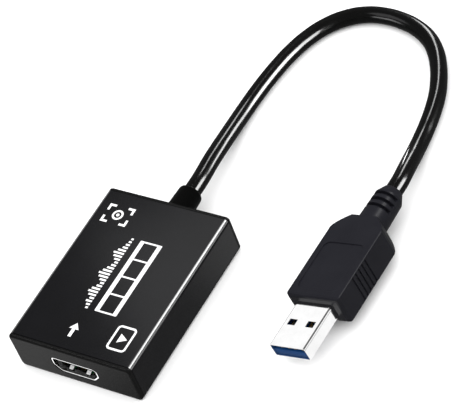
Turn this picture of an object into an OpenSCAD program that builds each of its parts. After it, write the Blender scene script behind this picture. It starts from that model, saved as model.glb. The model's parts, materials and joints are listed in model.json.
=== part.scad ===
// Video capture box: an extruded sleeve closed by two end caps, a circuit board with a digital
// video socket at one end, and a captive lead at the other end with a flat data plug on it.
// Millimetres. +Z is up, the socket faces -Y, and the origin is under the middle of the case.

/* [Case] */
// Width of the case
case_w = 39.7; // [32:0.1:60]
// Length of the case over both end caps
case_l = 54.4; // [50:0.1:66]
// Height of the case
case_h = 13; // [12:0.1:18]
// Radius of the four long edges
edge_r = 1.4; // [0.8:0.1:3]
// Wall thickness of the sleeve
wall = 1.3; // [1:0.1:1.6]
// Thickness of the part of an end cap that shows
cap_t = 1.2; // [0.8:0.1:2]
// Rounding of the outer rim of an end cap
cap_round = 0.7; // [0.1:0.05:0.8]
// Depth of the chamfer that leaves a fine groove between an end cap and the sleeve
cap_seam = 0.2; // [0.05:0.05:0.4]
// Depth of the skirt that an end cap pushes into the sleeve
skirt_l = 3; // [2:0.1:4]
// Thickness of that skirt
skirt_t = 1; // [0.8:0.1:1.2]
// Gap between skirt and sleeve, bridged by crush ribs
cap_fit = 0.1; // [0.05:0.05:0.2]

/* [Board] */
// Thickness of the circuit board
board_t = 1; // [0.8:0.1:1.6]
// Space between the sleeve floor and the board
board_gap = 0.6; // [0.5:0.1:1]
// How far the board rails stand out from the sleeve walls
rail_d = 1; // [0.8:0.1:1.5]
// Thickness of the rail over the board
rail_t = 0.8; // [0.6:0.1:1.2]
// Sliding clearance of the board
slide_fit = 0.1; // [0.05:0.05:0.2]

/* [Video socket] */
// Inside width of the socket shell at the top
socket_w = 14; // [12:0.1:17]
// Inside height of the socket shell
socket_h = 4.55; // [4.2:0.05:5.5]
// Length of the socket shell
socket_l = 11.5; // [10:0.1:14]
// Sheet thickness of the socket shell
socket_metal = 0.4; // [0.25:0.05:0.5]
// Thickness of the contact tongue in the socket
socket_tongue_t = 1.9; // [1.6:0.05:2.2]
// Clearance between the socket shell and the window in the front cap
window_fit = 0.12; // [0.05:0.01:0.3]

/* [Lead] */
// Diameter of the lead
lead_d = 5; // [4:0.1:5.8]
// Diameter of the gland where it leaves the case
gland_d = 7.7; // [6.6:0.1:7.8]
// Length of the gland outside the case
gland_l = 9.3; // [6:0.1:14]
// Distance from the middle of the case to the middle of the plug
plug_aside = 54.4; // [46:0.1:60]

/* [Plug] */
// Outside width of the plug shell
plug_w = 12; // [10:0.1:14]
// Outside height of the plug shell
plug_h = 4.5; // [4:0.1:5]
// Length of shell in front of the grip
plug_reach = 15; // [11:0.5:16]
// Sheet thickness of the plug shell
plug_metal = 0.3; // [0.2:0.05:0.4]
// Width of the grip
grip_w = 17.5; // [15:0.5:20]
// Thickness of the grip
grip_t = 9; // [8.6:0.1:11]
// Length of the straight part of the grip
grip_l = 24.3; // [23:0.1:32]
// Length of the sloping shoulders
shoulder_l = 4.9; // [4:0.1:6]
// Length of the slotted strain relief
relief_l = 12.6; // [11:0.1:16]
// Clearance around moulded-in pieces
mould_fit = 0.02; // [0.01:0.01:0.05]
// Roll of the plug as its stiff lead holds it, on the lower left edge of the grip, in degrees
plug_roll = 13.5; // [0:0.5:20]
// Turn of the plug as it lies, its lead end away from the case, in degrees
plug_yaw = 1.5; // [0:0.5:5]

/* [Hidden] */
$fn = 48;
eps = 0.01;
cut = 1;

// Case
sleeve_l = case_l - 2 * cap_t;
sleeve_end = sleeve_l / 2;
inner_r = 0.5;
rail_x = case_w / 2 - wall - rail_d;
rib_r = 0.5;
rim_steps = 8;
quarter_turns = [0, 30, 60, 90];

// Board
board_z = wall + board_gap;
board_top = board_z + board_t;
board_w = case_w - 2 * wall - 2 * slide_fit;
board_stop = 1;
board_front = -sleeve_end + board_stop + slide_fit;
board_back = sleeve_end - skirt_l - slide_fit;

// Video socket: a D-shaped outline, wide side up, as corners in X and Z around its centre
socket_z = board_top + socket_metal + socket_h / 2;
socket_recess = 0.15;
socket_front = -case_l / 2 + socket_recess;
socket_back = socket_front + socket_l;
socket_slope = 1.9;
socket_floor_w = socket_w - 2 * socket_slope;
socket_side_z = -0.4;
socket_corner_r = 0.8;
socket_fit = 0.05;
socket_block_l = 4;
socket_tongue_gap = 1.05;
socket_tongue_w = socket_w - 2 * socket_tongue_gap;
socket_tongue_set = 2;
socket_tongue_front = socket_front + socket_tongue_set;
socket_outline = [
    [-socket_floor_w / 2, -socket_h / 2],
    [socket_floor_w / 2, -socket_h / 2],
    [socket_w / 2, socket_side_z],
    [socket_w / 2, socket_h / 2],
    [-socket_w / 2, socket_h / 2],
    [-socket_w / 2, socket_side_z]
];
spring_x = 2.8;
spring_w = 1.3;
spring_front = 0.6;
spring_peak = 1.9;
spring_root = 6;
spring_dip = 0.7;
spring_lift = 0.35;
spring_slit = 0.25;
leg_y = [2.6, 9.4];
leg_w = 1;
leg_below = 0.3;
leg_lap = 0.5;
leg_hole_fit = 0.25;

// Socket contacts: ten over the tongue, nine under it
contact_pitch = 1;
contact_w = 0.3;
contact_t = 0.2;
contact_proud = 0.05;
contact_foot = 1.2;
contact_from_tip = 0.6;
contact_front = socket_tongue_front + contact_from_tip;

// Lead and gland
lead_z = case_h / 2;
lead_r = lead_d / 2;
jacket_t = 0.5;
core_r = lead_r - jacket_t;
core_l = 1.2;
flange_w = 10;
flange_h = case_h - 2 * (wall + cap_fit + skirt_t) - 2 * slide_fit;
flange_t = 1.6;
flange_rib = 1.2;
gland_tip = [0, case_l / 2 + gland_l, lead_z];
gland_taper = 0.3;
gland_shoulder = 1.2;
root_bare = 1.4;
root_in = sleeve_end - flange_t - root_bare;

// Nine conductors: eight in a ring and one in the middle, ordered from left to right
wire_r = lead_d * 0.0875;
wire_ring = lead_d * 0.275;
wire_turn = [157.5, 202.5, 112.5, 247.5, 0, 292.5, 67.5, 337.5, 22.5];
wire_out = [1, 1, 1, 1, 0, 1, 1, 1, 1];
wire_colours = ["Purple", "Red", "Orange", "White", "Black", "Green", "Blue", "Silver", "Yellow"];
wire_sides = 8;
wire_rings = 9;
pad_y = 13.5;
pad_pitch = 2.2;
bead_r = 0.8;
bead_l = 1.6;
wire_bow = 2.6;
plug_wire_bow = 3.4;

// Plug: its own frame has the grip's front face at y = 0 and the lead's axis along Y
plug_back = 10.7;
grip_r = 0.4;
plug_rest = (grip_w / 2 - grip_r) * sin(plug_roll) + (grip_t / 2 - grip_r) * cos(plug_roll) + grip_r;
plug_at = [plug_aside, plug_back, plug_rest];
plug_way = [sin(plug_yaw), cos(plug_yaw), 0];
plug_corner_r = 0.7;
shell_in = 5.5;
hole_w = 2.5;
hole_l = 2;
hole_x = 3.05;
hole_from_mouth = 8;
hole_y = hole_from_mouth - plug_reach;
tongue_fit = 0.03;
tongue_t = 1.85;
tongue_bottom = plug_metal + tongue_fit - plug_h / 2;
tongue_top = tongue_bottom + tongue_t;
tongue_set = 0.6;
tongue_front = tongue_set - plug_reach;
block_front = -5;
power_x = [-3.5, -1, 1, 3.5];
power_w = 1.1;
power_z = tongue_top + contact_proud - contact_t;
power_front = tongue_front + contact_from_tip;
signal_x = [-4, -2, 0, 2, 4];
signal_w = 0.8;
signal_z = 1.1;
signal_flat = 0.4;
signal_bend = 2;
signal_dip = 0.5;
signal_reach = 2.8;
signal_lift = 0.4;
tail_l = 2.4;
tail_end = shell_in + tail_l;
grip_front_r = 1;
grip_corner_steps = 3;
neck_w = 9;
neck_drop = 0.2;
neck_t = grip_t - neck_drop;
shoulder_bow = 1.4;
shoulder_steps = 6;
relief_r = 4.35;
relief_tip_r = 4.05;
relief_sunk = 2;
nose_l = 2.6;
nose_wall = 0.35;
nose_tip_r = lead_r + nose_wall;
slot_count = 3;
slot_w = 1.1;
slot_pitch = 2.2;
slot_wall = 0.5;
slot_core_r = lead_r + slot_wall;
spine_top = 0.8;
spine_bottom = -2.6;
groove_count = 5;
groove_pitch = 1.65;
groove_w = 0.6;
groove_d = 0.35;
groove_from = 7.9;
panel_d = 0.25;
panel_edge = 2;
panel_from = 2.6;
panel_l = 16.4;
panel_r = 2;
mould_wall = 0.6;
mould_w = plug_w + 2 * mould_wall;
mould_h = plug_h + 2 * mould_wall;
mould_from = 1.5;
mould_to = 21;
tip_core = 16.4;
plug_l = grip_l + shoulder_l + relief_l;
plug_tip = plug_at + plug_l * plug_way;

// The free stretch of the lead: out of the gland, down to the table, round and back to the plug
lead_straight = 4;
lead_sides = 12;
lead_route = concat(
    [gland_tip, gland_tip + [0, lead_straight, 0]],
    [
        [-0.3, 44, 6.3], [-0.8, 48, 6], [-1.5, 54, 5.2], [-2.3, 60, 4.1], [-3, 66, 3.1],
        [-3.3, 72, 2.6], [-3.2, 78, 2.5], [-2.8, 84, 2.5], [-2.1, 90, 2.5], [-1, 96, 2.5],
        [1.1, 102.6, 2.5], [4.2, 108.2, 2.5], [8.6, 112.7, 2.5], [14, 115.5, 2.5],
        [20, 116.4, 2.5], [26, 115.8, 2.5], [31.6, 114.1, 2.5], [36.9, 111, 2.5],
        [41.1, 106.8, 2.5], [44.4, 101.9, 2.5], [46.9, 97, 2.5], [49, 91.7, 2.5],
        [50.4, 86.4, 2.5], [51.4, 81, 2.5], [52.1, 75.6, 2.5], [53, 70, 3.2],
        [54.2, 64.8, 4.8], [55.1, 60.4, 5.9]
    ],
    [plug_tip + lead_straight * plug_way, plug_tip]
);

// Small parts on the board, as [x, y, turn]
capacitor_spots = [
    [-3.6, 3, 90], [-1.2, 3, 90], [1.2, 3, 90], [3.6, 3, 90],
    [-11.5, 4.6, 0], [11.5, 4.6, 0], [-11.5, 10.6, 0], [11.5, 10.6, 0],
    [0, 6.2, 90], [0, 8.8, 90], [15, -4, 90], [10.5, -9.2, 0],
    [-11.6, -2, 90], [-8.5, 0.8, 0]
];
resistor_spots = [
    [-7.4, -12.4, 0], [-7.4, -10.8, 0], [-7.4, -9.2, 0], [7.4, -12.4, 0],
    [7.4, -10.8, 0], [-14, -12, 90], [14, -12, 90], [-14, -6, 90],
    [14.5, 1, 90], [-14.5, 1, 90]
];
surge_spots = [[-3, -11.4, 0], [3, -11.4, 0]];
regulator_spots = [[-11.5, 7.6, 0], [11.5, 7.6, 0]];
inductor_spots = [[-5.5, 7.6, 0], [5.5, 7.6, 0]];
chip_at = [0, -4, 0];
flash_at = [10.2, -4, 0];
crystal_at = [-8.5, -2, 0];
chip_size = [10, 10, 0.9];
chip_dot_r = 0.4;
chip_dot_in = 1.2;
chip_dot_d = 0.1;
flash_size = [4.9, 3.9, 1.4];
flash_leads = [-1.905, -0.635, 0.635, 1.905];
regulator_size = [2.9, 1.6, 1];
regulator_leads = [-0.95, 0, 0.95];
crystal_base = [3.2, 2.5, 0.4];
crystal_lid = [2.8, 2.1, 0.8];
inductor_w = 4;
inductor_h = 1.8;
inductor_r = 0.6;
inductor_ring = [1.35, 1.65];
inductor_ring_d = 0.15;
surge_size = [2.5, 1, 0.5];
small_l = 1.6;
small_w = 0.8;
small_end = 0.35;
small_step = 0.05;
capacitor_h = 0.8;
resistor_h = 0.45;
gull_t = 0.16;
gull_w = 0.4;
gull_lap = 0.05;
gull_out = [0.35, 0.55, 1];
stand_off = 0.1;

// Outlines: convex, counter-clockwise
function unit(v) = v / norm(v);
function edge_normal(a, b) = unit([b.y - a.y, a.x - b.x]);
function miter(n1, n2) = (n1 + n2) / (1 + n1 * n2);
function before(list, i) = list[(i + len(list) - 1) % len(list)];
function after(list, i) = list[(i + 1) % len(list)];
function grown(outline, g) = [
    for (i = [0:len(outline) - 1])
        let (n1 = edge_normal(before(outline, i), outline[i]))
        let (n2 = edge_normal(outline[i], after(outline, i)))
        outline[i] + g * miter(n1, n2)
];
function rounded(outline, r, steps = 4) = [
    for (i = [0:len(outline) - 1])
        let (n1 = edge_normal(before(outline, i), outline[i]))
        let (n2 = edge_normal(outline[i], after(outline, i)))
        let (centre = outline[i] - r * miter(n1, n2))
        let (from = atan2(n1.y, n1.x))
        let (turn = acos(n1 * n2))
        for (k = [0:steps])
            centre + r * [cos(from + turn * k / steps), sin(from + turn * k / steps)]
];
function socket_ring(g) = rounded(grown(socket_outline, g), max(socket_corner_r + g, 0.2));

// A bent strip of sheet metal: its side view, from the line along its middle
function path_normal(a, b) = unit([a.y - b.y, b.x - a.x]);
function path_miter(path, i) =
    let (last = len(path) - 1)
    let (n1 = path_normal(path[max(i - 1, 0)], path[max(i, 1)]))
    let (n2 = path_normal(path[min(i, last - 1)], path[min(i + 1, last)]))
    miter(n1, n2);
function strip(path, t) = concat(
    [for (i = [0:len(path) - 1]) path[i] - path_miter(path, i) * t / 2],
    [for (i = [len(path) - 1:-1:0]) path[i] + path_miter(path, i) * t / 2]
);

// A round tube along a path that never runs straight up, with the ways its two end rings face
function path_way(path, i, ends) =
    let (last = len(path) - 1)
    i == 0 ? ends[0] : i == last ? ends[1] : unit(path[i + 1] - path[i - 1]);
function ring_points(at, way, r, sides) =
    let (across = unit(cross(way, [0, 0, 1])))
    let (over = cross(across, way))
    [for (k = [0:sides - 1]) at + r * (cos(360 * k / sides) * across + sin(360 * k / sides) * over)];
function tube_points(path, r, sides, ends) = [
    for (i = [0:len(path) - 1]) each ring_points(path[i], path_way(path, i, ends), r, sides)
];
function tube_side(rings, sides) = [
    for (i = [0:rings - 2])
        for (k = [0:sides - 1])
            let (a = i * sides + k)
            let (b = i * sides + (k + 1) % sides)
            each [[a, b, a + sides], [b, b + sides, a + sides]]
];
function tube_ends(rings, sides) = [
    for (k = [1:sides - 2])
        let (far = (rings - 1) * sides)
        each [[0, k + 1, k], [far, far + k, far + k + 1]]
];
function curve(a, b, c, d, t) =
    pow(1 - t, 3) * a + 3 * pow(1 - t, 2) * t * b + 3 * (1 - t) * t * t * c + pow(t, 3) * d;
function soft_path(a, d, lead) = [
    for (i = [0:wire_rings - 1]) curve(a, a + lead, d - lead, d, i / (wire_rings - 1))
];
function wire_spot(k) = wire_ring * wire_out[k] * [cos(wire_turn[k]), 0, sin(wire_turn[k])];

// A rounded rectangle across Y, and a solid through a row of such rings
function rect_corners(w, h) = [[-w / 2, -h / 2], [w / 2, -h / 2], [w / 2, h / 2], [-w / 2, h / 2]];
function rect_ring(y, z, w, h, r, steps) = [
    for (p = rounded(rect_corners(w, h), r, steps)) [p.x, y, z + p.y]
];

module loft(rings) {
    sides = len(rings[0]);
    far = (len(rings) - 1) * sides;
    polyhedron(
        [for (ring = rings) each ring],
        concat(
            tube_side(len(rings), sides),
            [[for (k = [sides - 1:-1:0]) k], [for (k = [0:sides - 1]) far + k]]
        )
    );
}

module tube(path, r, sides, ends)
    polyhedron(
        tube_points(path, r, sides, ends),
        concat(tube_side(len(path), sides), tube_ends(len(path), sides)),
        convexity = 10
    );

module along_y(from, to)
    translate([0, to, 0])
        rotate([90, 0, 0])
            linear_extrude(height = to - from)
                children();

module along_x(middle, w)
    translate([middle - w / 2, 0, 0])
        rotate([90, 0, 90])
            linear_extrude(height = w)
                children();

module about_y(y, z)
    translate([0, y, z])
        rotate([-90, 0, 0])
            rotate_extrude()
                children();

module rounded_rect(w, h, r) {
    square([w - 2 * r, h], center = true);
    square([w, h - 2 * r], center = true);
    for (x = [-1, 1])
        for (y = [-1, 1])
            translate([x * (w / 2 - r), y * (h / 2 - r)])
                circle(r);
}

module block(size) translate([-size.x / 2, -size.y / 2, 0]) cube(size);

// Case
module case_outline(inset = 0)
    translate([0, case_h / 2])
        rounded_rect(case_w - 2 * inset, case_h - 2 * inset, max(edge_r - inset, inner_r));

module rail_outline() {
    translate([0, wall - eps])
        square([rail_d + eps, board_gap + eps]);
    translate([0, board_top + slide_fit])
        square([rail_d + eps, rail_t]);
}

module sleeve_outline() {
    difference() {
        case_outline();
        case_outline(wall);
    }
    for (side = [0, 1])
        mirror([side, 0])
            translate([rail_x, 0])
                rail_outline();
}

module case_sleeve()
    color("#303136")
        along_y(-sleeve_end, sleeve_end)
            sleeve_outline();

// The visible plate of an end cap, for the +Y end: rings that draw in around the outer rim
function plate_ring(y, inset) =
    rect_ring(y, case_h / 2, case_w - 2 * inset, case_h - 2 * inset, edge_r - inset, rim_steps);
function rim_ring(turn) =
    plate_ring(case_l / 2 - cap_round * (1 - sin(turn)), cap_round * (1 - cos(turn)));

module cap_plate()
    loft(concat(
        [plate_ring(sleeve_end, cap_seam), plate_ring(sleeve_end + cap_seam, 0)],
        [for (turn = quarter_turns) rim_ring(turn)]
    ));

module skirt_outline()
    difference() {
        case_outline(wall + cap_fit);
        case_outline(wall + cap_fit + skirt_t);
    }

// The skirt of an end cap for the +Y end, cut away where the rails of the sleeve run
module cap_skirt()
    difference() {
        union() {
            along_y(sleeve_end - skirt_l, sleeve_end + eps)
                skirt_outline();
            for (x = [-1, 0, 1])
                translate([x * case_w / 4, 0, case_h - wall - rib_r])
                    along_y(sleeve_end - skirt_l, sleeve_end)
                        circle(rib_r);
        }
        for (side = [0, 1])
            mirror([side, 0, 0])
                translate([rail_x - cap_fit, 0, 0])
                    cube([case_w, case_l, board_top + slide_fit + rail_t + cap_fit]);
    }

module front_cap()
    color("#26272b")
        difference() {
            union() {
                mirror([0, 1, 0])
                    cap_plate();
                mirror([0, 1, 0])
                    cap_skirt();
            }
            translate([0, 0, socket_z])
                along_y(-case_l / 2 - cut, -sleeve_end + skirt_l + cut)
                    polygon(socket_ring(socket_metal + window_fit));
            translate([-case_w / 2, -sleeve_end + board_stop, 0])
                cube([case_w, skirt_l, board_top + slide_fit]);
        }

// Two upright ribs that keep the gland's flange from turning
module flange_ribs() {
    rib_h = flange_h + 2 * slide_fit + 2 * eps;
    for (side = [-1, 1])
        translate([side * (flange_w / 2 + slide_fit + flange_rib / 2), sleeve_end, lead_z - rib_h / 2])
            translate([-flange_rib / 2, -flange_t, 0])
                cube([flange_rib, flange_t + eps, rib_h]);
}

module rear_cap()
    color("#26272b")
        difference() {
            union() {
                cap_plate();
                cap_skirt();
                flange_ribs();
            }
            translate([0, sleeve_end - cut, lead_z])
                rotate([-90, 0, 0])
                    cylinder(d = gland_d + 2 * slide_fit, h = cap_t + 2 * cut);
        }

// Board
module main_board()
    color("#1d5a34")
        difference() {
            translate([-board_w / 2, board_front, board_z])
                cube([board_w, board_back - board_front, board_t]);
            for (side = [-1, 1])
                for (y = leg_y)
                    translate([side * (socket_w + socket_metal) / 2, socket_front + y, board_z - cut])
                        block([
                            socket_metal + 2 * leg_hole_fit,
                            leg_w + 2 * leg_hole_fit,
                            board_t + 2 * cut
                        ]);
        }

// Video socket
module socket_spring(side) {
    flat = side * (socket_h + socket_metal) / 2;
    peak = flat - side * spring_dip;
    path = [
        [spring_root + spring_slit, flat],
        [spring_root, flat],
        [spring_peak, peak],
        [spring_front + spring_slit, peak + side * spring_lift]
    ];
    for (x = [-1, 1])
        translate([0, socket_front, socket_z])
            along_x(x * spring_x, spring_w)
                polygon(strip(path, socket_metal));
}

module video_socket_shell()
    color("#c9ccd0") {
        difference() {
            translate([0, 0, socket_z])
                along_y(socket_front, socket_back)
                    difference() {
                        polygon(socket_ring(socket_metal));
                        polygon(socket_ring(0));
                    }
            for (x = [-1, 1])
                translate([x * spring_x, socket_front + (spring_front + spring_root) / 2, board_top - cut])
                    block([spring_w + 2 * spring_slit, spring_root - spring_front, case_h]);
        }
        socket_spring(1);
        socket_spring(-1);
        for (side = [-1, 1])
            for (y = leg_y)
                translate([side * (socket_w + socket_metal) / 2, socket_front + y, board_z - leg_below])
                    block([socket_metal, leg_w, socket_z - board_z + leg_below + leg_lap]);
    }

module contact_side(z) {
    translate([contact_front, z])
        square([socket_back - contact_front + contact_t, contact_t]);
    translate([socket_back, board_top])
        square([contact_t, z + contact_t - board_top]);
    translate([socket_back, board_top])
        square([contact_foot, contact_t]);
}

module video_socket_contacts()
    color("#d9b45a") {
        for (k = [-4.5:4.5])
            along_x(k * contact_pitch, contact_w)
                contact_side(socket_z + socket_tongue_t / 2 + contact_proud - contact_t);
        for (k = [-4:4])
            along_x(k * contact_pitch, contact_w)
                contact_side(socket_z - socket_tongue_t / 2 - contact_proud);
    }

module video_socket_insulator()
    color("#1c1c1e")
        difference() {
            union() {
                translate([0, socket_tongue_front, socket_z - socket_tongue_t / 2])
                    translate([-socket_tongue_w / 2, 0, 0])
                        cube([socket_tongue_w, socket_back - socket_tongue_front, socket_tongue_t]);
                translate([0, 0, socket_z])
                    along_y(socket_back - socket_block_l, socket_back)
                        polygon(socket_ring(-socket_fit));
            }
            video_socket_contacts();
        }

// Parts on the board
module on_board(spots)
    for (spot = spots)
        translate([spot.x, spot.y, board_top])
            rotate([0, 0, spot.z])
                children();

// Bent leads along one long side of a body
module gull_leads(xs, size)
    for (x = xs)
        along_x(x, gull_w)
            translate([size.y / 2, gull_t / 2])
                polygon(strip([
                    [-gull_lap, size.z / 2],
                    [gull_out[0], size.z / 2],
                    [gull_out[1], 0],
                    [gull_out[2], 0]
                ], gull_t));

module leaded_body(size)
    translate([0, 0, stand_off])
        block(size);

module capture_chip()
    color("#2b2b2e")
        on_board([chip_at])
            difference() {
                block(chip_size);
                translate([-chip_size.x / 2, chip_size.y / 2, chip_size.z])
                    translate([chip_dot_in, -chip_dot_in, -chip_dot_d])
                        cylinder(r = chip_dot_r, h = cut);
            }

module flash_chip()
    color("#2b2b2e")
        on_board([flash_at]) {
            leaded_body(flash_size);
            for (side = [0, 1])
                mirror([0, side, 0])
                    gull_leads(flash_leads, flash_size);
        }

module clock_crystal()
    color("#b9bcc0")
        on_board([crystal_at]) {
            block(crystal_base);
            block(crystal_lid);
        }

// Three leads on one side, two on the other
module voltage_regulators()
    color("#2b2b2e")
        on_board(regulator_spots) {
            leaded_body(regulator_size);
            gull_leads(regulator_leads, regulator_size);
            mirror([0, 1, 0])
                gull_leads([regulator_leads[0], regulator_leads[2]], regulator_size);
        }

// A square shielded coil with a ring groove around its core
module power_inductors()
    color("#4b4d50")
        on_board(inductor_spots)
            difference() {
                linear_extrude(height = inductor_h)
                    rounded_rect(inductor_w, inductor_w, inductor_r);
                translate([0, 0, inductor_h - inductor_ring_d])
                    linear_extrude(height = cut)
                        difference() {
                            circle(inductor_ring[1]);
                            circle(inductor_ring[0]);
                        }
            }

module surge_arrays()
    color("#2b2b2e")
        on_board(surge_spots)
            block(surge_size);

// A small two-ended part: its metal ends stand proud of its body
module small_part(h) {
    block([small_l - 2 * small_step, small_w - 2 * small_step, h - small_step]);
    for (side = [-1, 1])
        translate([side * (small_l - small_end) / 2, 0, 0])
            block([small_end, small_w, h]);
}

module capacitors()
    color("#b08d62")
        on_board(capacitor_spots)
            small_part(capacitor_h);

module resistors()
    color("#3a3a3d")
        on_board(resistor_spots)
            small_part(resistor_h);

// Lead: half the gland's section, from its axis out, tapered outside the case up to a rounded shoulder
module gland_half() {
    l = cap_t + gland_l + eps;
    tip_r = gland_d / 2 - gland_taper;
    polygon([
        [0, 0],
        [gland_d / 2, 0],
        [gland_d / 2, cap_t],
        [tip_r, l - gland_shoulder],
        [0, l - gland_shoulder]
    ]);
    square([tip_r - gland_shoulder, l]);
    intersection() {
        translate([tip_r - gland_shoulder, l - gland_shoulder])
            circle(gland_shoulder);
        square([tip_r, l]);
    }
}

module strain_relief()
    color("#18191b")
        difference() {
            union() {
                about_y(sleeve_end - eps, lead_z)
                    gland_half();
                translate([-flange_w / 2, sleeve_end - flange_t, lead_z - flange_h / 2])
                    cube([flange_w, flange_t, flange_h]);
            }
            translate([0, sleeve_end - flange_t - cut, lead_z])
                rotate([-90, 0, 0])
                    cylinder(r = lead_r + mould_fit, h = gland_l + flange_t + cap_t + 2 * cut);
        }

module cable_root()
    color("#1b1b1d")
        translate([0, root_in, lead_z])
            rotate([-90, 0, 0]) {
                cylinder(r = lead_r, h = gland_tip.y - root_in);
                translate([0, 0, -core_l])
                    cylinder(r = core_r, h = core_l + eps);
            }

module lead_wires()
    for (k = [0:8])
        color(wire_colours[k])
            tube(
                soft_path(
                    [0, root_in - core_l, lead_z] + wire_spot(k),
                    [(k - 4) * pad_pitch, pad_y + bead_l / 2, board_top + wire_r],
                    [0, -wire_bow, 0]
                ),
                wire_r, wire_sides, [[0, -1, 0], [0, -1, 0]]
            );

module solder_beads()
    color("#c4c7cb")
        for (k = [-4:4])
            translate([k * pad_pitch, pad_y, board_top])
                along_y(-bead_l / 2, bead_l / 2)
                    intersection() {
                        circle(bead_r);
                        translate([-bead_r, 0])
                            square([2 * bead_r, bead_r]);
                    }

module cable()
    color("#151517")
        tube(lead_route, lead_r, lead_sides, [[0, 1, 0], -plug_way]);

// Puts a piece that is drawn in the plug's own frame in its place
module in_plug()
    translate(plug_at)
        rotate([0, -plug_roll, -plug_yaw])
            children();

module cable_tip()
    color("#1b1b1d")
        in_plug()
            translate([0, tip_core, 0])
                rotate([-90, 0, 0]) {
                    cylinder(r = core_r, h = core_l + eps);
                    translate([0, 0, core_l])
                        cylinder(r = lead_r, h = plug_l - tip_core - core_l);
                }

// Plug
module shell_outline(inset)
    rounded_rect(plug_w - 2 * inset, plug_h - 2 * inset, plug_corner_r - inset);

module data_plug_shell()
    color("#c9ccd0")
        in_plug()
            difference() {
                along_y(-plug_reach, shell_in)
                    difference() {
                        shell_outline(0);
                        shell_outline(plug_metal);
                    }
                for (x = [-1, 1])
                    translate([x * hole_x, hole_y, -grip_t / 2])
                        block([hole_w, hole_l, grip_t]);
            }

module power_contacts()
    for (x = power_x)
        along_x(x, power_w)
            translate([power_front, power_z])
                square([tail_end - power_front, contact_t]);

module signal_contacts()
    for (x = signal_x)
        along_x(x, signal_w)
            polygon(strip([
                [tail_end, signal_z],
                [block_front - signal_flat, signal_z],
                [block_front - signal_bend, signal_z - signal_dip],
                [block_front - signal_reach, signal_z - signal_dip + signal_lift]
            ], contact_t));

module data_plug_power_contacts()
    color("#d9b45a")
        in_plug()
            power_contacts();

module data_plug_signal_contacts()
    color("#d9b45a")
        in_plug()
            signal_contacts();

module tongue_outline()
    intersection() {
        shell_outline(plug_metal + tongue_fit);
        translate([-plug_w / 2, tongue_top - plug_h])
            square([plug_w, plug_h]);
    }

module data_plug_tongue()
    color("#2456b8")
        in_plug()
            difference() {
                union() {
                    along_y(tongue_front, block_front + eps)
                        tongue_outline();
                    along_y(block_front, shell_in)
                        shell_outline(plug_metal + tongue_fit);
                }
                power_contacts();
                signal_contacts();
            }

module plug_wire(from, k)
    color(wire_colours[k])
        tube(
            soft_path(from, [0, tip_core, 0] + wire_spot(k), [0, plug_wire_bow, 0]),
            wire_r, wire_sides, [[0, 1, 0], [0, 1, 0]]
        );

// The sprung contacts take the upper conductors, the flat ones the lower
module plug_wires() {
    upper = [0, 2, 4, 6, 8];
    lower = [1, 3, 5, 7];
    for (i = [0:4])
        plug_wire([signal_x[i], tail_end, signal_z], upper[i]);
    for (i = [0:3])
        plug_wire([power_x[i], tail_end, power_z + contact_t / 2], lower[i]);
}

module data_plug_wires()
    in_plug()
        plug_wires();

module mould_outline(grow)
    rounded_rect(mould_w + 2 * grow, mould_h + 2 * grow, plug_corner_r + grow);

// The bore that the lead's jacket sits in
module lead_bore()
    translate([0, tip_core - mould_fit, 0])
        rotate([-90, 0, 0])
            cylinder(r = lead_r + mould_fit, h = plug_l);

module data_plug_inner_mould()
    color("#dcd9cf")
        in_plug()
            difference() {
                along_y(mould_from, mould_to)
                    mould_outline(0);
                along_y(mould_from - cut, shell_in + mould_fit)
                    shell_outline(-mould_fit);
                lead_bore();
                power_contacts();
                signal_contacts();
                plug_wires();
            }

// Grip: a rounded front, straight sides, then shoulders that bow in to the neck
function grip_ring(y, w, t) = rect_ring(y, 0, w, t, grip_r, grip_corner_steps);
function grip_front_ring(turn) =
    let (inset = grip_front_r * (1 - sin(turn)))
    grip_ring(grip_front_r * (1 - cos(turn)), grip_w - 2 * inset, grip_t - 2 * inset);
function shoulder_ring(s) =
    let (full = 1 - pow(s, shoulder_bow))
    grip_ring(grip_l + shoulder_l * s, neck_w + (grip_w - neck_w) * full, neck_t + (grip_t - neck_t) * full);

module grip_body()
    loft(concat(
        [for (turn = quarter_turns) grip_front_ring(turn)],
        [for (k = [0:shoulder_steps]) shoulder_ring(k / shoulder_steps)]
    ));

// The strain relief: a tapered round sleeve with a conical nose
module relief_body()
    about_y(grip_l + shoulder_l - relief_sunk, 0)
        polygon([
            [0, 0],
            [relief_r, 0],
            [relief_tip_r, relief_sunk + relief_l - nose_l],
            [nose_tip_r, relief_sunk + relief_l],
            [0, relief_sunk + relief_l]
        ]);

// Slots across the top and bottom of the strain relief, leaving a spine along each side
module relief_slots()
    for (k = [0:slot_count - 1])
        translate([0, plug_l - nose_l - slot_w - k * slot_pitch, 0])
            difference() {
                union() {
                    translate([0, 0, spine_top])
                        block([grip_w, slot_w, grip_t]);
                    translate([0, 0, spine_bottom - grip_t])
                        block([grip_w, slot_w, grip_t]);
                }
                translate([0, -slot_w, 0])
                    rotate([-90, 0, 0])
                        cylinder(r = slot_core_r, h = 2 * slot_w);
            }

module grip_grooves()
    for (side = [-1, 1])
        for (k = [0:groove_count - 1])
            translate([side * grip_w / 2, groove_from + k * groove_pitch, grip_r - grip_t / 2])
                block([2 * groove_d, groove_w, grip_t - 2 * grip_r]);

// A shallow panel in the top of the grip
module grip_panel()
    translate([0, panel_from + panel_l / 2, grip_t / 2 - panel_d])
        linear_extrude(height = cut)
            rounded_rect(grip_w - 2 * panel_edge, panel_l, panel_r);

module data_plug_grip()
    color("#1d1e21")
        in_plug()
            difference() {
                union() {
                    grip_body();
                    relief_body();
                }
                relief_slots();
                grip_grooves();
                grip_panel();
                along_y(-cut, mould_from + cut)
                    shell_outline(-mould_fit);
                along_y(mould_from - mould_fit, mould_to + mould_fit)
                    mould_outline(mould_fit);
                lead_bore();
            }

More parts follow.
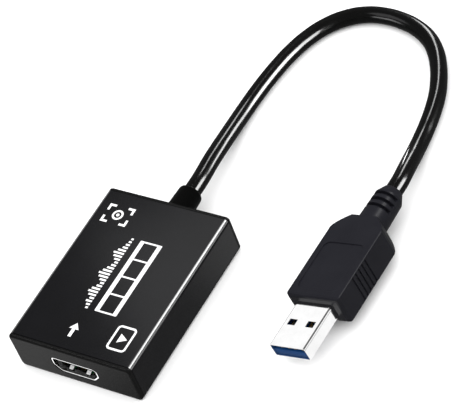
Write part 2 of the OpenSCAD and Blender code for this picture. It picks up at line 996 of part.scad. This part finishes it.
case_sleeve();
front_cap();
rear_cap();
main_board();
video_socket_shell();
video_socket_insulator();
video_socket_contacts();
capture_chip();
flash_chip();
clock_crystal();
voltage_regulators();
power_inductors();
surge_arrays();
capacitors();
resistors();
strain_relief();
cable_root();
lead_wires();
solder_beads();
cable();
cable_tip();
data_plug_shell();
data_plug_tongue();
data_plug_power_contacts();
data_plug_signal_contacts();
data_plug_wires();
data_plug_inner_mould();
data_plug_grip();
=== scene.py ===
"""Looks of a video capture box: a satin black case with a video socket, and a short lead to a data plug.

Metres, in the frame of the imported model: +Z is up, the socket faces -Y, the case stands on z = 0.
"""
import json
import math

import bpy
from mathutils import Matrix, Vector


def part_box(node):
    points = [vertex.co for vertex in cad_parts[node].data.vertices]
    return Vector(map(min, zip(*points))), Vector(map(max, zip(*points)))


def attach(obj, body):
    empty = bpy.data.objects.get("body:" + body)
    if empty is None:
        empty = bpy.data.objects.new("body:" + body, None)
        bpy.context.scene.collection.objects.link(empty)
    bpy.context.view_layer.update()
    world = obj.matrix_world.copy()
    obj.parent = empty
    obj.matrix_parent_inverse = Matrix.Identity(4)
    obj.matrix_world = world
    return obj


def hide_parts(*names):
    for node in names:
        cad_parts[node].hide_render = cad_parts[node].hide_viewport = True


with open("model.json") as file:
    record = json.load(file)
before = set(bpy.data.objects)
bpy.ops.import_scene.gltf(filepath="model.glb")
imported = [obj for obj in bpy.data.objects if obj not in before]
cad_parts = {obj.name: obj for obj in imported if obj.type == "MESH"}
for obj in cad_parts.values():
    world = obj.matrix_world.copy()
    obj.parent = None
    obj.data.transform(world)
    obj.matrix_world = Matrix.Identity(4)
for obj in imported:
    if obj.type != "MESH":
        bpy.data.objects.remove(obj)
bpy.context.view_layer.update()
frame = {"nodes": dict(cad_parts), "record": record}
nodes = frame["nodes"]
slot_of = {part["node"]: part["material_slot"] for part in frame["record"]["subparts"]}

MM = 0.001


def metres(point):
    return Vector(point) * MM


def pointing(turn, height):
    """The direction with that turn about Z, from +X, and that height above level, both in degrees."""
    turn, height = math.radians(turn), math.radians(height)
    flat = math.cos(height)
    return Vector((flat * math.cos(turn), flat * math.sin(turn), math.sin(height)))


def far_end(node):
    """The middle of a node's end towards +Y."""
    low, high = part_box(node)
    return Vector(((low.x + high.x) / 2, high.y, (low.z + high.z) / 2))


def add_object(name, data):
    thing = bpy.data.objects.new(name, data)
    bpy.context.scene.collection.objects.link(thing)
    return thing


# Camera, solved from the straight edges of the case: angles in degrees, lengths in millimetres

CAMERA_TURN = 45.64
CAMERA_HEIGHT = 45.40
CAMERA_ROLL = -21.93
CAMERA_AWAY = 622.2
CAMERA_TARGET = (7.3, 40.2, 0.5)
CAMERA_CLIP = 10
PHOTO_WIDTH_PX = 452
FOCAL_PX = 2238
SENSOR_WIDTH = 36


def camera_back():
    """The direction from the object to the camera, which is on the side of -Y at a turn of zero."""
    return pointing(CAMERA_TURN - 90, CAMERA_HEIGHT)


def aim_camera():
    back = camera_back()
    level = pointing(CAMERA_TURN, 0)
    roll = math.radians(CAMERA_ROLL)
    right = level * math.cos(roll) + back.cross(level) * math.sin(roll)
    data = bpy.data.cameras.new("camera")
    data.sensor_width = SENSOR_WIDTH
    data.lens = FOCAL_PX / PHOTO_WIDTH_PX * SENSOR_WIDTH
    data.clip_start = CAMERA_CLIP * MM
    camera = add_object("camera", data)
    axes = Matrix((right, back.cross(right), back)).transposed().to_4x4()
    camera.matrix_world = Matrix.Translation(metres(CAMERA_TARGET) + back * CAMERA_AWAY * MM) @ axes
    bpy.context.scene.camera = camera


# Lead, in millimetres: its thickness, its length, its straight ends and the points that it lies through

LEAD_D = 5
LEAD_STRAIGHT = 4
LEAD_ROUTE = [
    (-0.3, 44, 6.3), (-0.8, 48, 6), (-1.5, 54, 5.2), (-2.3, 60, 4.1), (-3, 66, 3.1),
    (-3.3, 72, 2.6), (-3.2, 78, 2.5), (-2.8, 84, 2.5), (-2.1, 90, 2.5), (-1, 96, 2.5),
    (1.1, 102.6, 2.5), (4.2, 108.2, 2.5), (8.6, 112.7, 2.5), (14, 115.5, 2.5),
    (20, 116.4, 2.5), (26, 115.8, 2.5), (31.6, 114.1, 2.5), (36.9, 111, 2.5),
    (41.1, 106.8, 2.5), (44.4, 101.9, 2.5), (46.9, 97, 2.5), (49, 91.7, 2.5),
    (50.4, 86.4, 2.5), (51.4, 81, 2.5), (52.1, 75.6, 2.5), (53, 70, 3.2),
    (54.2, 64.8, 4.8), (55.1, 60.4, 5.9),
]
# How finely the curve is divided, both along it and around it
LEAD_STEPS = 8
# Plug: the middle of the grip's front, its length back from there and its turn about Z in degrees
PLUG_AT = (54.4, 10.7, 6.336)
PLUG_LENGTH = 41.8
PLUG_YAW = 1.5
# The pieces at the two ends of the lead
LEAD_PIECES = [name for name in nodes if name.startswith("data_plug_")]
LEAD_PIECES += ["strain_relief", "cable_root", "cable_tip"]


def make_lead():
    """The free lead as one round curve from the gland to the plug."""
    gland_tip = far_end("cable_root")
    yaw = math.radians(PLUG_YAW)
    plug_way = metres((math.sin(yaw), math.cos(yaw), 0))
    plug_tip = metres(PLUG_AT) + PLUG_LENGTH * plug_way
    route = [gland_tip, gland_tip + metres((0, LEAD_STRAIGHT, 0))]
    route += [metres(p) for p in LEAD_ROUTE]
    route += [plug_tip + LEAD_STRAIGHT * plug_way, plug_tip]
    data = bpy.data.curves.new("lead", "CURVE")
    data.dimensions = "3D"
    # The radius of the knots is the real one, so the bevel that it scales is one metre
    data.bevel_depth = 1
    data.bevel_resolution = LEAD_STEPS
    data.resolution_u = LEAD_STEPS
    data.use_fill_caps = True
    spline = data.splines.new("BEZIER")
    spline.bezier_points.add(len(route) - 1)
    for knot, point in zip(spline.bezier_points, route):
        knot.co = point
        knot.radius = LEAD_D / 2 * MM
        knot.handle_left_type = knot.handle_right_type = "AUTO"
    lead = add_object("lead", data)
    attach(lead, "root")
    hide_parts("cable")
    return lead


# Print on the top of the case, in millimetres: one thin layer of ink, as closed flat solids

INK_T = 0.03
CORNER_STEPS = 6
CIRCLE_STEPS = 32
STRIP_MIDDLE = (3.2, 0)
STRIP_W = 7
STRIP_L = 25
STRIP_LINE = 0.5
STRIP_RAIL = 1.3
STRIP_FRAMES = 4
BARS_FROM = (-2.6, -12.2)
BARS_PITCH = 1.06
BARS_W = 0.6
BARS_HEIGHTS = (
    0.8, 1.2, 1.9, 1.4, 2.4, 3.1, 2.6, 1.7, 1.2, 2.0, 3.0, 3.6,
    2.9, 2.2, 1.5, 1.1, 1.8, 2.7, 3.3, 2.5, 1.6, 1.2, 0.9, 0.7,
)
FINDER_MIDDLE = (-11.8, 18.6)
FINDER_SIZE = (8.4, 6.4)
FINDER_CORNER = 2.2
FINDER_LINE = 0.7
FINDER_RING = (1.7, 1.1)
FINDER_DOT = 0.5
PLAY_MIDDLE = (12.2, -18.4)
PLAY_SIZE = (6, 8)
PLAY_LINE = 0.6
PLAY_ROUND = 1.2
PLAY_TRIANGLE = 1.7
ARROW_TIP = (-2.5, -17.6)
ARROW_L = 4.6
ARROW_HEAD = (3, 2)
ARROW_SHAFT = 1


def rectangle(middle, size):
    x, y = middle
    w, h = size[0] / 2, size[1] / 2
    return [(x - w, y - h), (x + w, y - h), (x + w, y + h), (x - w, y + h)]


def circle(middle, radius, steps=CIRCLE_STEPS):
    turns = [2 * math.pi * k / steps for k in range(steps)]
    return [(middle[0] + radius * math.cos(t), middle[1] + radius * math.sin(t)) for t in turns]


def rounded(middle, size, radius):
    """A rectangle with round corners, which starts at its lower right one."""
    points = []
    for k, (sx, sy) in enumerate(((1, -1), (1, 1), (-1, 1), (-1, -1))):
        centre = (middle[0] + sx * (size[0] / 2 - radius), middle[1] + sy * (size[1] / 2 - radius))
        for step in range(CORNER_STEPS + 1):
            turn = math.pi / 2 * (k - 1 + step / CORNER_STEPS)
            points.append((centre[0] + radius * math.cos(turn), centre[1] + radius * math.sin(turn)))
    return points


class Ink:
    """A mesh of flat marks on the top of the case, each from an outline in X and Y."""

    def __init__(self, name):
        self.name = name
        self.points = []
        self.faces = []
        self.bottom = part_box("case_sleeve")[1].z
        self.top = self.bottom + INK_T * MM

    def layer(self, outline, z):
        start = len(self.points)
        self.points += [(x * MM, y * MM, z) for x, y in outline]
        return [start + k for k in range(len(outline))]

    def layers(self, outline):
        """The outline at the bottom and at the top of the ink."""
        return self.layer(outline, self.bottom), self.layer(outline, self.top)

    def walls(self, low, high):
        for k in range(len(low)):
            n = (k + 1) % len(low)
            self.faces.append((low[k], low[n], high[n], high[k]))

    def mark(self, outline):
        """A solid mark with a counter-clockwise outline."""
        low, high = self.layers(outline)
        self.faces += [low[::-1], high]
        self.walls(low, high)

    def band(self, outer, inner):
        """A mark with a hole: both outlines counter-clockwise, with the same count of points."""
        outer_low, outer_high = self.layers(outer)
        inner_low, inner_high = self.layers(inner)
        self.walls(outer_low, outer_high)
        self.walls(inner_high, inner_low)
        self.walls(outer_high, inner_high)
        self.walls(inner_low, outer_low)

    def finish(self, material):
        data = bpy.data.meshes.new(self.name)
        data.from_pydata(self.points, [], self.faces)
        data.materials.append(material)
        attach(add_object(self.name, data), "root")


def print_film_strip(material):
    """A film strip along the case: two rails and the lines between its pictures."""
    ink = Ink("print_film_strip")
    x, y = STRIP_MIDDLE
    picture = STRIP_W - 2 * STRIP_RAIL
    for side in (-1, 1):
        rail_x = x + side * (STRIP_W - STRIP_RAIL) / 2
        ink.mark(rounded((rail_x, y), (STRIP_RAIL, STRIP_L), STRIP_LINE / 2))
    for k in range(STRIP_FRAMES + 1):
        line_y = y + (k / STRIP_FRAMES - 0.5) * (STRIP_L - STRIP_LINE)
        ink.mark(rectangle((x, line_y), (picture, STRIP_LINE)))
    ink.finish(material)


def print_level_bars(material):
    """A row of level bars of different heights."""
    ink = Ink("print_level_bars")
    for k, height in enumerate(BARS_HEIGHTS):
        place = (BARS_FROM[0] - height / 2, BARS_FROM[1] + k * BARS_PITCH)
        ink.mark(rectangle(place, (height, BARS_W)))
    ink.finish(material)


def print_finder(material):
    """Four corner marks of a viewfinder, with a ring and a dot in the middle."""
    ink = Ink("print_finder")
    x, y = FINDER_MIDDLE
    for sx in (-1, 1):
        for sy in (-1, 1):
            corner = (x + sx * FINDER_SIZE[0] / 2, y + sy * FINDER_SIZE[1] / 2)
            arms = [
                (0, 0), (-sx * FINDER_CORNER, 0), (-sx * FINDER_CORNER, -sy * FINDER_LINE),
                (-sx * FINDER_LINE, -sy * FINDER_LINE), (-sx * FINDER_LINE, -sy * FINDER_CORNER),
                (0, -sy * FINDER_CORNER),
            ]
            outline = [(corner[0] + dx, corner[1] + dy) for dx, dy in arms]
            # Two of the four corners are mirror images, which run clockwise
            ink.mark(outline if sx == sy else outline[::-1])
    ink.band(circle(FINDER_MIDDLE, FINDER_RING[0]), circle(FINDER_MIDDLE, FINDER_RING[1]))
    ink.mark(circle(FINDER_MIDDLE, FINDER_DOT))
    ink.finish(material)


def print_play_mark(material):
    """A triangle in a rounded frame."""
    ink = Ink("print_play_mark")
    hole = tuple(side - 2 * PLAY_LINE for side in PLAY_SIZE)
    ink.band(
        rounded(PLAY_MIDDLE, PLAY_SIZE, PLAY_ROUND),
        rounded(PLAY_MIDDLE, hole, PLAY_ROUND - PLAY_LINE),
    )
    ink.mark(circle(PLAY_MIDDLE, PLAY_TRIANGLE, steps=3))
    ink.finish(material)


def print_arrow(material):
    """An arrow into the case, behind the socket."""
    ink = Ink("print_arrow")
    x, y = ARROW_TIP
    head_w, head_l = ARROW_HEAD
    ink.mark([
        (x, y), (x - head_w / 2, y - head_l),
        (x - ARROW_SHAFT / 2, y - head_l), (x - ARROW_SHAFT / 2, y - ARROW_L),
        (x + ARROW_SHAFT / 2, y - ARROW_L), (x + ARROW_SHAFT / 2, y - head_l),
        (x + head_w / 2, y - head_l),
    ])
    ink.finish(material)


def print_case(material):
    print_film_strip(material)
    print_level_bars(material)
    print_finder(material)
    print_play_mark(material)
    print_arrow(material)


# Materials: every texture is laid out on the part itself, with its sizes here in millimetres

GRAIN = 0.25
GRAIN_DEPTH = 0.004
SHADES = 6
SOFT_EDGE = 0.1
DRAWN_LINES = 0.3
DRAWN_DEPTH = 0.001
CLOUDS = 3
METAL_EDGE = 0.08
# Rays that look for a nearby edge
EDGE_SAMPLES = 4
# Long top edges of the sleeve, given a bright metal band that stands in for their highlight: a painted
# highlight. Beyond x, above z and the width of the border
HIGHLIGHT_EDGE = (18.75, 12.2, 0.4)
# The grey of that painted highlight band
HIGHLIGHT_GREY = 0.5
# The usual range of a noise
NOISE_RANGE = (0.3, 0.7)
# The sockets of a Mix node that mixes colours
MIX_FACTOR, MIX_FIRST, MIX_SECOND, MIX_RESULT = 0, 6, 7, 2


def grey(value):
    return (value, value, value)


# Darkest and lightest colour, least and most roughness, and specular level. A look that differs from the
# usual goes on with its grain, its edge and its edge band of painted highlight.
PLASTICS = {
    # The sleeve's look ends with its painted highlight band along the long top edges
    "anodised_black": (
        (0.0028, 0.0028, 0.0034), (0.0034, 0.0034, 0.0042), (0.16, 0.22), 0.5, GRAIN, SOFT_EDGE, HIGHLIGHT_EDGE,
    ),
    "cap_black": (grey(0.0032), grey(0.0042), (0.2, 0.28), 0.28),
    "board_green": ((0.01, 0.1, 0.03), (0.02, 0.14, 0.05), (0.25, 0.4), 0.5),
    "insulator_black": (grey(0.006), grey(0.009), (0.45, 0.6), 0.4),
    "chip_black": (grey(0.02), grey(0.03), (0.5, 0.65), 0.4),
    "ferrite_grey": (grey(0.06), grey(0.1), (0.6, 0.75), 0.4),
    "capacitor_tan": ((0.4, 0.26, 0.13), (0.5, 0.34, 0.19), (0.4, 0.55), 0.4),
    "resistor_dark": (grey(0.03), grey(0.05), (0.4, 0.55), 0.4),
    "gland_black": (grey(0.0008), grey(0.0012), (0.3, 0.4), 0.2),
    "jacket_black": (grey(0.0012), grey(0.0018), (0.14, 0.2), 0.35),
    "wire_sleeve": ((0.3, 0.16, 0.16), (0.4, 0.24, 0.24), (0.25, 0.35), 0.5),
    "plug_blue": ((0.006, 0.04, 0.14), (0.008, 0.05, 0.165), (0.4, 0.5), 0.15),
    "mould_natural": ((0.6, 0.58, 0.5), (0.7, 0.68, 0.6), (0.45, 0.6), 0.4),
    "grip_black": ((0.0085, 0.0085, 0.0115), (0.0105, 0.0105, 0.0138), (0.3, 0.38), 0.3),
    "print_white": (grey(0.72), grey(0.82), (0.45, 0.6), 0.3, 0.15, 0.01),
}
# Darkest and lightest colour, least and most roughness, and how the lines of a drawn metal are stretched
METALS = {
    "plated_shell": (grey(0.86), grey(0.92), (0.06, 0.13), (1, 0.05, 1)),
    "gold_contact": ((0.75, 0.52, 0.2), (0.85, 0.63, 0.28), (0.2, 0.35)),
    "crystal_can": (grey(0.55), grey(0.65), (0.25, 0.4)),
    "solder": (grey(0.55), grey(0.66), (0.2, 0.35)),
}


class Finish:
    """A material's node tree around one surface shader, with a call for each kind of node used here."""

    def __init__(self, name, **sockets):
        self.material = bpy.data.materials.new(name)
        self.material.use_nodes = True
        self.tree = self.material.node_tree
        self.shader = self.tree.nodes["Principled BSDF"]
        self.place = self.tree.nodes.new("ShaderNodeTexCoord").outputs["Object"]
        for socket, value in sockets.items():
            self.shader.inputs[socket.replace("_", " ")].default_value = value

    def link(self, output, node, socket):
        self.tree.links.new(output, node.inputs[socket])

    def stretched(self, scale):
        """The place on the part with each axis scaled by itself."""
        mapping = self.tree.nodes.new("ShaderNodeMapping")
        mapping.inputs["Scale"].default_value = scale
        self.link(self.place, mapping, "Vector")
        return mapping.outputs["Vector"]

    def noise(self, size, detail=2, place=None):
        """Soft noise whose grains are about that many metres across."""
        node = self.tree.nodes.new("ShaderNodeTexNoise")
        node.inputs["Scale"].default_value = 1 / size
        node.inputs["Detail"].default_value = detail
        self.link(place or self.place, node, "Vector")
        return node.outputs["Fac"]

    def spread(self, value, low, high, source=NOISE_RANGE):
        """Maps one range of values to another, and stops at its ends."""
        node = self.tree.nodes.new("ShaderNodeMapRange")
        node.inputs["From Min"].default_value, node.inputs["From Max"].default_value = source
        node.inputs["To Min"].default_value, node.inputs["To Max"].default_value = low, high
        self.link(value, node, "Value")
        return node.outputs["Result"]

    def arithmetic(self, operation, *values):
        node = self.tree.nodes.new("ShaderNodeMath")
        node.operation = operation
        for k, value in enumerate(values):
            self.link(value, node, k)
        return node.outputs[0]

    def colour(self, factor, first, second):
        """Mixes two colours into the shader's own."""
        mix = self.tree.nodes.new("ShaderNodeMix")
        mix.data_type = "RGBA"
        mix.inputs[MIX_FIRST].default_value = (*first, 1)
        mix.inputs[MIX_SECOND].default_value = (*second, 1)
        self.link(factor, mix, MIX_FACTOR)
        self.link(mix.outputs[MIX_RESULT], self.shader, "Base Color")
        return mix

    def along_edges(self, x, z, fade):
        """One on the two long top edges, beyond x on both sides and above z, with a soft border."""
        axes = self.tree.nodes.new("ShaderNodeSeparateXYZ")
        self.link(self.place, axes, "Vector")
        side = self.arithmetic("ABSOLUTE", axes.outputs["X"])
        beyond = self.spread(side, 0, 1, (x, x + fade))
        above = self.spread(axes.outputs["Z"], 0, 1, (z, z + fade))
        return self.arithmetic("MULTIPLY", beyond, above)

    def paint_highlight(self, mask, shine):
        """Bright metal where the mask is one, over the colour so far: a painted highlight, not wear."""
        coat = self.shader.inputs["Base Color"].links[0].from_socket
        mix = self.colour(mask, shine, shine)
        self.link(coat, mix, MIX_FIRST)
        self.link(mask, self.shader, "Metallic")

    def roughness(self, value, low, high):
        self.link(self.spread(value, low, high), self.shader, "Roughness")

    def relief(self, height, depth, edge):
        """Bumps that many metres deep, over edges rounded by that many metres."""
        bump = self.tree.nodes.new("ShaderNodeBump")
        bump.inputs["Distance"].default_value = depth
        self.link(height, bump, "Height")
        bevel = self.tree.nodes.new("ShaderNodeBevel")
        bevel.samples = EDGE_SAMPLES
        bevel.inputs["Radius"].default_value = edge
        self.link(bevel.outputs["Normal"], bump, "Normal")
        self.link(bump.outputs["Normal"], self.shader, "Normal")


def plastic(name, dark, light, rough, level, grain=GRAIN, edge=SOFT_EDGE, highlight_edge=None):
    """Moulded plastic or a coated surface, with a fine grain."""
    finish = Finish(name, Specular_IOR_Level=level)
    fine = finish.noise(grain * MM, detail=3)
    broad = finish.noise(SHADES * MM)
    finish.colour(finish.spread(broad, 0, 1), dark, light)
    finish.roughness(fine, *rough)
    finish.relief(fine, GRAIN_DEPTH * MM, edge * MM)
    # Painted highlight: a bright metal band on the long top edges stands in for the highlight that falls
    # there
    if highlight_edge:
        finish.paint_highlight(finish.along_edges(*metres(highlight_edge)), grey(HIGHLIGHT_GREY))
    return finish.material


def metal(name, dark, light, rough, drawn=(1, 1, 1)):
    """Bare or plated metal with fine drawing lines and slight clouding."""
    finish = Finish(name, Metallic=1)
    lines = finish.noise(DRAWN_LINES * MM, detail=4, place=finish.stretched(drawn))
    clouds = finish.noise(CLOUDS * MM, detail=3)
    finish.colour(finish.spread(clouds, 0, 1), dark, light)
    finish.roughness(lines, *rough)
    finish.relief(lines, DRAWN_DEPTH * MM, METAL_EDGE * MM)
    return finish.material


def make_materials():
    """One finish for each material slot of the record, and one for the print."""
    finishes = {name: plastic(name, *look) for name, look in PLASTICS.items()}
    finishes.update({name: metal(name, *look) for name, look in METALS.items()})
    return finishes


def dress_nodes(materials):
    for name, node in nodes.items():
        node.data.materials.clear()
        node.data.materials.append(materials[slot_of[name]])


# Stage: a pale floor and a soft overhead light, with cards that show only in the gloss of some pieces.
# Lengths are in metres, and radiance is in watts per square metre and steradian.

FLOOR_SIZE = 3
FLOOR_GREYS = (0.88, 0.9)
FLOOR_CLOUDS = 0.2
SURROUND = 0.15
OVERHEAD_AWAY = 1.5
OVERHEAD_SIZE = (5, 5)
OVERHEAD_RADIANCE = 2.2
CASE = ("case_sleeve", "front_cap", "rear_cap")
FRONT = ("front_cap",)
GRIP = ("data_plug_grip",)
SHELLS = ("data_plug_shell", "video_socket_shell")
LEAD = ("lead",)
# The pieces that show the card, a place near them in millimetres and a normal: the card stands where a face
# there mirrors the camera, at a distance in metres, with its size in metres and its radiance
CARDS = {
    "case_top": (CASE, (60, -12, 13), (0, 0, 1), 0.25, (0.1, 0.1), 0.68),
    "case_front": (CASE + SHELLS, (-44, -27, 6), (0, -1, 0), 0.2, (0.08, 0.08), 0.42),
    "case_side": (CASE, (20, 55, 6), (1, 0, 0), 0.2, (0.075, 0.075), 0.35),
    "long_edges": (CASE, (20, 0, 12), (0.5, 0, 0.866), 0.7, (0.34, 0.34), 2.6),
    "front_edge": (FRONT, (0, -27, 12), (0, -0.47, 0.883), 0.7, (0.3, 0.15), 5),
    "grip_edge": (GRIP, (63, 20, 10), (0.5, 0, 0.866), 0.7, (0.18, 0.18), 8),
    "lead_bend": (LEAD, (10, 90, 4), (0.788, -0.148, 0.597), 0.7, (0.6, 0.4), 27),
    "lead_rise": (LEAD, (-1.5, 56, 5), (0.797, 0.178, 0.577), 0.045, (0.03, 0.014), 22),
    "lead_top": (LEAD, (20, 116, 4), (0, -0.85, 0.53), 0.7, (0.4, 0.25), 5),
    "lead_crown": (LEAD, (20, 116, 4), (0, -0.568, 0.823), 0.7, (0.4, 0.35), 1.3),
    "lead_return": (LEAD, (50, 85, 5), (0.205, 0.22, 0.954), 0.8, (0.14, 0.56), 14),
}
# Cards around the bright shells, with angles in degrees: walls at four turns about Z, and a roof with its
# own turn, height and size
TENT_TURNS = (57, 147, 237, 327)
TENT_HEIGHT = 25.5
TENT_SIZE = (1.1, 0.6)
TENT_ROOF = (180, 63, (0.4, 0.4))
TENT_AWAY = 0.8
TENT_RADIANCE = 0.95
BOUNCE_DEPTH = 0.3
BOUNCE_SIZE = (3, 3)
BOUNCE_RADIANCE = 0.9


def make_floor():
    """A pale floor that black gloss doesn't mirror."""
    half = FLOOR_SIZE / 2
    data = bpy.data.meshes.new("floor")
    corners = [(-half, -half, 0), (half, -half, 0), (half, half, 0), (-half, half, 0)]
    data.from_pydata(corners, [], [(0, 1, 2, 3)])
    finish = Finish("floor_white", Roughness=1.0, Specular_IOR_Level=0.0)
    finish.colour(finish.noise(FLOOR_CLOUDS), *map(grey, FLOOR_GREYS))
    data.materials.append(finish.material)
    floor = add_object("floor", data)
    floor.visible_glossy = floor.visible_shadow = False


def light_surround():
    world = bpy.data.worlds.new("surround")
    world.use_nodes = True
    background = world.node_tree.nodes["Background"]
    background.inputs["Strength"].default_value = SURROUND
    background.inputs["Color"].default_value = (1, 1, 1, 1)
    bpy.context.scene.world = world


def add_softbox(name, place, direction, size, radiance):
    """A rectangular light that faces back along a direction, and that the camera doesn't see."""
    data = bpy.data.lights.new(name, "AREA")
    data.shape = "RECTANGLE"
    data.size, data.size_y = size
    data.energy = radiance * math.pi * size[0] * size[1]
    light = add_object(name, data)
    light.visible_camera = False
    light.matrix_world = Matrix.Translation(place) @ direction.to_track_quat("Z", "Y").to_matrix().to_4x4()
    return light


def mirrored(normal):
    """The direction in which a face with that normal mirrors the camera."""
    normal = Vector(normal).normalized()
    back = camera_back()
    return 2 * back.dot(normal) * normal - back


def add_card(name, shown_by, place, direction, size, radiance):
    """A softbox that shows only in the gloss of the named pieces."""
    card = add_softbox(name, place, direction, size, radiance)
    card.visible_diffuse = False
    receivers = bpy.data.collections.new(name)
    for piece in shown_by:
        receivers.objects.link(bpy.data.objects[piece])
    card.light_linking.receiver_collection = receivers


def add_tent():
    """Cards on all sides of the bright shells, and one below that stands for the pale floor."""
    cards = [(turn, TENT_HEIGHT, TENT_SIZE) for turn in TENT_TURNS] + [TENT_ROOF]
    for k, (turn, height, size) in enumerate(cards):
        direction = pointing(turn, height)
        place = metres(PLUG_AT) + direction * TENT_AWAY
        add_card(f"tent_{k}", SHELLS, place, direction, size, TENT_RADIANCE)
    down = Vector((0, 0, -1))
    add_card("bounce", SHELLS, down * BOUNCE_DEPTH, down, BOUNCE_SIZE, BOUNCE_RADIANCE)


def light_stage():
    light_surround()
    up = Vector((0, 0, 1))
    overhead = add_softbox("overhead", up * OVERHEAD_AWAY, up, OVERHEAD_SIZE, OVERHEAD_RADIANCE)
    overhead.visible_glossy = False
    for name, (shown_by, place, normal, away, size, radiance) in CARDS.items():
        direction = mirrored(normal)
        add_card(name, shown_by, metres(place) + direction * away, direction, size, radiance)
    add_tent()


# Build

aim_camera()
lead = make_lead()
materials = make_materials()
dress_nodes(materials)
lead.data.materials.append(materials["jacket_black"])
print_case(materials["print_white"])
make_floor()
light_stage()
bpy.context.scene.view_settings.view_transform = "Standard"

bpy.context.view_layer.update()
